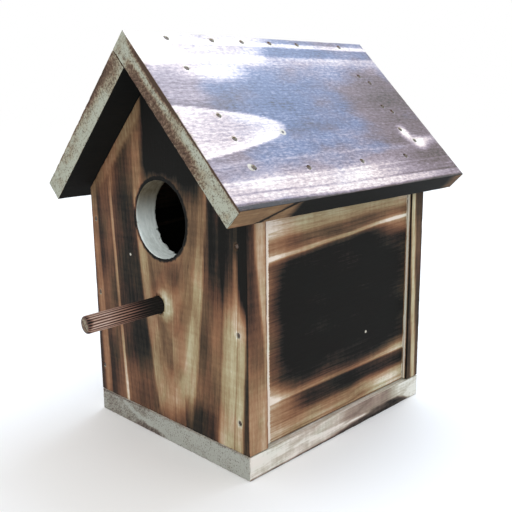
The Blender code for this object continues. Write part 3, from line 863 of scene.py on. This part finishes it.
def back_hue(z, x):
    return 0.16 if abs(x) > EDGE_X else 0.0

# %% Floor board figure
FLOOR_BANDS = [(-30, .10), (0, .05), (10, .12), (20, .04), (50, .09), (80, .05), (120, .12)]


def floor_ring(y, x, depth):
    return math.hypot(x + 66, depth + 30) - 40 + 0.08 * y


def floor_torch(y, x, depth, facing):
    """Depth runs from 0 at the top face to 12 at the bottom."""
    if abs(facing.x) > 0.6:
        stain = 0.26 * smooth(x, -14, -34) + 0.65 * patch(x, depth, -16, 11, 20, 4)
        stain += 0.28 * patch(x, depth, -20, 3, 16, 4)
        sweep = abs(depth - 1 - 8.5 * (1 - math.exp(-max(x + 40, 0) / 16)))
        stain -= 0.55 * smooth(sweep, 1.2, 0.4) * smooth(x, -41, -38) * smooth(x, 2, -8)
        return stain + 0.5 * smooth(depth, 1.0, 0.2) * noise1(x * .4, 0, 0, 85) - 0.04
    burn = 0.2 * (noise1(y * 0.04, x * 0.1, 0, 81) - 0.5)
    if abs(facing.y) > 0.6:
        fall = depth - 4.0 - (y + 60) * 0.055               # grain that falls towards the back
        burn -= 0.16 * smooth(abs(fall), 1.3, 0.4) * smooth(y, 50, 30)
        burn += 0.30 * smooth(fall, -0.4, -1.6) * smooth(y, -10, 10) * smooth(y, 50, 38)
        char = depth - 11.4 + 3.6 * smooth(y, -30, 36) * smooth(y, 62, 50) + noise1(y * 0.1, 0, 0, 83)
        burn += 0.75 * smooth(char, 0.0, 1.1) * smooth(y, 64, 56)
        burn -= 0.08 * smooth(y, 40, 60) + 0.08 * smooth(y, -20, -50)
        burn += 0.22 * (noise1(y * 0.11, depth * 0.3, 0, 87) - 0.4) * smooth(y, 50, 30)
    return burn + (0.4 * smooth(abs(x), 50, 60) if facing.z > 0.7 else 0)


def floor_hue(y, x):
    return -0.06 * smooth(y, 44, 10) + 0.14 * smooth(y, 44, 60)


def floor_inlay(tree, board, colour):
    """Bare wood near the ground has greyed."""
    return add(tree, "HueSaturation", {"Saturation": 0.55, "Value": 0.99, "Color": colour}).outputs[0]

# %% [markdown]
# ## One finish for all boards
# The ring distance goes through a ramp of burn values, the scorch stored on the points, with its painted
# shade and glare, is added, grain noises shift both, and the sum is turned into a tone. The cut ends and the
# drilled walls are found from the surface's own direction, so their edges stay crisp; the drilled wall of the
# entry hole is painted lit below and shaded above.

# %% Board finish
def value_ramp(tree, value, stops, offset=0.0):
    """A ramp over millimetres; negative values are carried by an offset."""
    low, high = stops[0][0], stops[-1][0]
    place = maths(tree, "DIVIDE", maths(tree, "SUBTRACT", value, low), high - low, clamp=True)
    made = ramp(tree, place, [((mm - low) / (high - low), level + offset) for mm, level in stops])
    return maths(tree, "SUBTRACT", made, offset) if offset else made


def attribute(tree, name):
    return add(tree, "Attribute", attribute_name=name, attribute_type="GEOMETRY").outputs["Fac"]


def facing_of(tree, direction):
    normal = add(tree, "NewGeometry").outputs["True Normal"]
    dot = add(tree, "VectorMath", {0: normal, 1: direction}, operation="DOT_PRODUCT").outputs["Value"]
    return maths(tree, "ABSOLUTE", dot)


def shift(tree, value, pattern, amount):
    """Adds a noise that swings evenly about zero."""
    return maths(tree, "MULTIPLY_ADD", maths(tree, "SUBTRACT", pattern, 0.5), amount, value)


def board_finish(name, axes, bands, runs=None, tone=tone_group, warp=1.2, fibre=0.30, cloud=0.16, ripple=0.10,
                 fleck_amount=0.20, line=0.10, spacing=2.6, arris=0.10, nail=-0.22, gloss=0.12, scorch=None,
                 inlay=None):
    material, tree, shader = new_material(name + "_finish")
    shader.inputs["Specular IOR Level"].default_value = gloss
    board = axes.mapping(tree)
    grain = use(tree, grain_group, {"Board": board})
    ring = attribute(tree, "ring")
    ring_here = shift(tree, shift(tree, ring, grain["Streak"], warp), grain["Fibre"], warp)
    burn = maths(tree, "ADD", value_ramp(tree, ring_here, bands), attribute(tree, "torch_shade_and_glare"))
    if runs:
        place = shift(tree, add(tree, "SeparateXYZ", {0: board}).outputs[0], grain["Fibre"], 1.0)
        burn = maths(tree, "ADD", burn, value_ramp(tree, place, runs, 1.0))
    for pattern, amount in (("Fibre", fibre), ("Cloud", cloud), ("Ripple", ripple), ("Fleck", fleck_amount)):
        burn = shift(tree, burn, grain[pattern], amount)
    rings = use(tree, ring_group, {"Ring": ring_here, "Spacing": spacing})["Line"]
    burn = maths(tree, "MULTIPLY_ADD", rings, line, burn)
    burn = maths(tree, "MULTIPLY_ADD", attribute(tree, "wear"), arris, burn)
    burn = maths(tree, "MULTIPLY_ADD", attribute(tree, "nail"), nail, burn)
    if scorch:
        burn = scorch(tree, board, burn)
    burn = maths(tree, "ADD", burn, 0.0, clamp=True)
    hue_and_sky = maths(tree, "ADD", grain["Cloud"], attribute(tree, "hue_and_sky"))
    made = use(tree, tone, {"Burn": burn, "Cloud": hue_and_sky})
    ends = use(tree, end_group, {"Board": board, "Ring": ring, "Stain": attribute(tree, "torch_shade_and_glare")})
    end_mask = soften(tree, facing_of(tree, axes.turn[0]), 0.72, 0.82)
    colour = blend(tree, end_mask, made["Color"], ends["Color"])
    if inlay:
        colour = inlay(tree, board, colour)
    feed(tree, shader.inputs["Base Color"], colour)
    feed(tree, shader.inputs["Roughness"], made["Roughness"])
    height = maths(tree, "SUBTRACT", grain["Fibre"], maths(tree, "MULTIPLY", rings, 0.3))
    pitted = maths(tree, "MULTIPLY", ends["Pit"], end_mask)
    height = maths(tree, "SUBTRACT", height, maths(tree, "MULTIPLY", pitted, 0.5))
    bump = add(tree, "Bump", {"Height": height, "Distance": 0.00014, "Strength": 0.6})
    feed(tree, shader.inputs["Normal"], bump.outputs[0])
    return material

# %% Make the boards
FRONT = dict(ring=front_ring, torch_shade_and_glare=front_torch_and_shade, hue_and_sky=front_hue, carve=front_carve)
SIDE = dict(ring=side_ring, torch_shade_and_glare=side_torch_and_shade, hue_and_sky=side_hue)
RECIPES = {
    "front_board": (FRONT, dict(bands=FRONT_BANDS, scorch=front_scorch, inlay=front_painted_bore_and_fleck, arris=0.2,
                                 fibre=0.26, cloud=0.22, ripple=0.14, nail=-0.12)),
    "back_board": (dict(ring=back_ring, torch_shade_and_glare=back_torch_and_shade, hue_and_sky=back_hue), dict(bands=BACK_BANDS)),
    "right_side_board": (SIDE, dict(bands=SIDE_BANDS, runs=SIDE_RUNS, ripple=0.12, inlay=side_inlay)),
    "left_side_board": (SIDE, dict(bands=SIDE_BANDS, warp=2.6)),
    "floor_board": (dict(ring=floor_ring, torch_shade_and_glare=floor_torch, hue_and_sky=floor_hue, chip=0.6),
                    dict(bands=FLOOR_BANDS, line=0.12, spacing=4.0, ripple=0.16, inlay=floor_inlay)),
    "right_roof_board": (dict(ring=roof_ring, torch_shade_and_glare=right_roof_torch_shade_and_glare, hue_and_sky=roof_hue),
                         dict(bands=ROOF_BANDS, inlay=right_roof_inlay)),
    "left_roof_board": (dict(ring=roof_ring, torch_shade_and_glare=left_roof_torch_and_shade, hue_and_sky=roof_hue),
                        dict(bands=LEFT_ROOF_BANDS)),
}
SATIN_AND_PAINTED_SKY = dict(tone=satin_and_sky_group, gloss=0.5, fleck_amount=0.9, ripple=0.08, cloud=0.3, line=0.06, arris=0.3,
             nail=-0.12)


def place_piece(piece, node):
    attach(piece, "root")
    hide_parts(node)


def make_board(name, cut, finish, seed):
    axes = AXES[name]
    bm = recut(name, axes)
    weather(bm, axes, seed=seed, **cut)
    piece = finish_mesh(bm, name.replace("_board", "_wood"), 40)
    piece.data.materials.append(board_finish(name, axes, **finish))
    if "roof" in name:
        # the roof's top faces get the satin gloss and the sky's reflection painted into the colour
        piece.data.materials.append(board_finish(name + "_top", axes, **finish, **SATIN_AND_PAINTED_SKY))
        top = Vector((SLOPE if name.startswith("right") else -SLOPE, 0, SLOPE))
        for face in piece.data.polygons:
            face.material_index = 1 if face.normal.dot(top) > 0.7 else 0
    place_piece(piece, name)
    print(name, len(piece.data.polygons), "faces")


for seed, (name, (cut, finish)) in enumerate(RECIPES.items()):
    make_board(name, cut, finish, 10.0 + 7.3 * seed)

# %% [markdown]
# ## The brads
# Forty-six small nails hold the house. A brad is a turned shape, so its half outline is spun once round: a
# head with a slightly dished top and a rounded rim, a neck, a shank and a point. `long_axis` reads where
# each one goes, and how long it is, from the nail it stands for.

# %% Brads
BRAD_SIDES = 20


def brad_outline(length, head):
    """Half outline from the middle of the head to the point, radius and depth in metres."""
    shank = head * 0.58
    return [(0.0, 0.00012), (head * 0.45, 0.00008), (head * 0.80, 0.0), (head * 0.95, 0.00008),
            (head, 0.00022), (head * 0.96, 0.00045), (shank * 1.1, 0.00068), (shank, 0.0010),
            (shank, length - 0.0018), (shank * 0.55, length - 0.0007), (0.0, length)]


def make_brad(name, seed):
    start, inward, length, radius = long_axis(NODES[name])
    bm = bmesh.new()
    outline = [bm.verts.new((r, 0, -depth)) for r, depth in brad_outline(length, radius * 0.95)]
    edges = [bm.edges.new(pair) for pair in zip(outline, outline[1:])]
    bmesh.ops.spin(bm, geom=outline + edges, cent=(0, 0, 0), axis=(0, 0, 1), angle=math.tau,
                   steps=BRAD_SIDES, use_merge=True)
    bmesh.ops.remove_doubles(bm, verts=bm.verts, dist=1e-7)
    for vert in bm.verts:
        if vert.co.z > -0.0004:
            vert.co.z -= 0.00008 * noise1(vert.co.x * 900, vert.co.y * 900, 0, seed)
    bmesh.ops.recalc_face_normals(bm, faces=bm.faces[:])
    turn = (-inward).to_track_quat("Z", "Y").to_matrix().to_4x4()
    bmesh.ops.transform(bm, matrix=Matrix.Translation(start) @ turn, verts=bm.verts[:])
    piece = finish_mesh(bm, name.replace("nail", "brad"), 40)
    piece.data.materials.append(brad_steel)
    place_piece(piece, name)


brad_steel, tree, shader = new_material("brad_steel")
shader.inputs["Metallic"].default_value = 0.75
place = stretch(tree, add(tree, "TexCoord").outputs["Object"], 1500, 1500, 1500)
tarnish = noise_at(tree, place, 3)
steel_tones = [(0.35, paint(58, 50, 46)), (0.52, paint(104, 94, 86)), (0.66, paint(104, 74, 56))]
feed(tree, shader.inputs["Base Color"], ramp(tree, tarnish, steel_tones))
feed(tree, shader.inputs["Roughness"], soften(tree, tarnish, 0.35, 0.65, 0.38, 0.62))
feed(tree, shader.inputs["Normal"], add(tree, "Bump", {"Height": tarnish, "Distance": 0.00005}).outputs[0])
brads = [name for name in NODES if "nail" in name]
for seed, name in enumerate(brads):
    make_brad(name, seed)
print(len(brads), "brads")

# %% [markdown]
# ## The perch
# A length of fluted dowel, the kind sold for joints: twenty shallow grooves run along it. It starts as one
# cylinder with a side for every eighth of a flute, its long edges are divided, and then the points are
# pulled in at the grooves. The free end was sawn and its rim chamfered; the torch browned the ribs, left
# the grooves dark, and blackened the foot beside the wall.

# %% Perch
FLUTES, SIDES_PER_FLUTE, FLUTE_DEPTH, PERCH_CHAMFER = 20, 8, 0.00035, 0.0007
PERCH_INSET = 0.0001                                       # a hair inside the frame's own dowel
perch_end, perch_way, perch_length, perch_radius = long_axis(NODES["perch_dowel"])
if perch_way.y < 0:                                        # from the free end towards the wall
    perch_end, perch_way = perch_end + perch_way * perch_length, -perch_way
perch_turn = (-perch_way).to_track_quat("Z", "Y").to_matrix()
perch_end += perch_way * PERCH_INSET
perch_length -= 2 * PERCH_INSET
perch_middle = perch_end + perch_way * (perch_length / 2)
print("perch", [round(v, 4) for v in perch_end], [round(v, 3) for v in perch_way], round(perch_length, 4))

bm = bmesh.new()
bmesh.ops.create_cone(bm, cap_ends=True, segments=FLUTES * SIDES_PER_FLUTE, radius1=perch_radius,
                      radius2=perch_radius, depth=perch_length)
long_edges = [e for e in bm.edges if abs(e.verts[0].co.z - e.verts[1].co.z) > 0.5 * perch_length]
bmesh.ops.subdivide_edges(bm, edges=long_edges, cuts=36, use_grid_fill=True)
caps = [f for f in bm.faces if len(f.verts) > 8]
for width in (PERCH_CHAMFER, perch_radius * 0.4):
    bmesh.ops.inset_region(bm, faces=caps, thickness=width, use_even_offset=True)
flute_layer = bm.verts.layers.float.new("flute")
for vert in bm.verts:
    reach = math.hypot(vert.co.x, vert.co.y)
    angle = math.atan2(vert.co.y, vert.co.x)
    up_dowel = vert.co.z / perch_length + 0.5
    if reach > perch_radius * 0.9:
        groove = (0.5 - 0.5 * math.cos(angle * FLUTES)) ** 1.6
        vert[flute_layer] = groove
        dent = 0.00010 * noise1(angle * 2, vert.co.z * 120, 0, 3)
        scale = (reach - FLUTE_DEPTH * groove - dent) / reach
        vert.co.x *= scale
        vert.co.y *= scale
        if up_dowel > 0.999 or up_dowel < 0.001:
            vert.co.z -= math.copysign(PERCH_CHAMFER * 0.8, vert.co.z)
            vert.co.x *= 0.985
            vert.co.y *= 0.985
bmesh.ops.recalc_face_normals(bm, faces=bm.faces[:])
bmesh.ops.transform(bm, matrix=Matrix.Translation(perch_middle) @ perch_turn.to_4x4(), verts=bm.verts[:])
perch = finish_mesh(bm, "perch", 50)

# %% Perch finish
perch_axes = Axes(tuple(-perch_way), tuple(perch_turn.col[0]), tuple(perch_end))
perch_finish, tree, shader = new_material("perch_finish")
shader.inputs["Specular IOR Level"].default_value = 0.2
board = perch_axes.mapping(tree)
grain = use(tree, grain_group, {"Board": board})
run = add(tree, "SeparateXYZ", {0: board}).outputs[0]
PERCH_BANDS = [(-60, 1.0), (-37, .98), (-30, .76), (-22, .42), (-10, .12), (-2.4, .14), (-0.8, .6), (0.6, .7)]
burn = value_ramp(tree, shift(tree, run, grain["Streak"], 8.0), PERCH_BANDS)
burn = maths(tree, "MULTIPLY_ADD", attribute(tree, "flute"), 0.78, burn)
burn = shift(tree, shift(tree, burn, grain["Fibre"], 0.45), grain["Cloud"], 0.2)
tone = use(tree, tone_group, {"Burn": maths(tree, "ADD", burn, 0.0, clamp=True), "Cloud": -1.0})
ends = use(tree, end_group, {"Board": board, "Ring": 0.0, "Stain": 0.4})
end_mask = soften(tree, facing_of(tree, -perch_way), 0.80, 0.92)
reach = add(tree, "VectorMath", {0: stretch(tree, board, 0, 1, 1)}, operation="LENGTH").outputs["Value"]
end_colour = blend(tree, soften(tree, reach, 2.9, 3.9), ends["Color"], paint(74, 58, 49))
bare_rib = maths(tree, "SUBTRACT", 0.4, burn, clamp=True)
ribs = blend(tree, bare_rib, tone["Color"], paint(190, 152, 146))
ribs = add(tree, "HueSaturation", {"Hue": 0.487, "Saturation": 0.82, "Value": 1.12, "Color": ribs}).outputs[0]
feed(tree, shader.inputs["Base Color"], blend(tree, end_mask, ribs, end_colour))
feed(tree, shader.inputs["Roughness"], tone["Roughness"])
bump = add(tree, "Bump", {"Height": grain["Fibre"], "Distance": 0.0001})
feed(tree, shader.inputs["Normal"], bump.outputs[0])
perch.data.materials.append(perch_finish)
place_piece(perch, "perch_dowel")
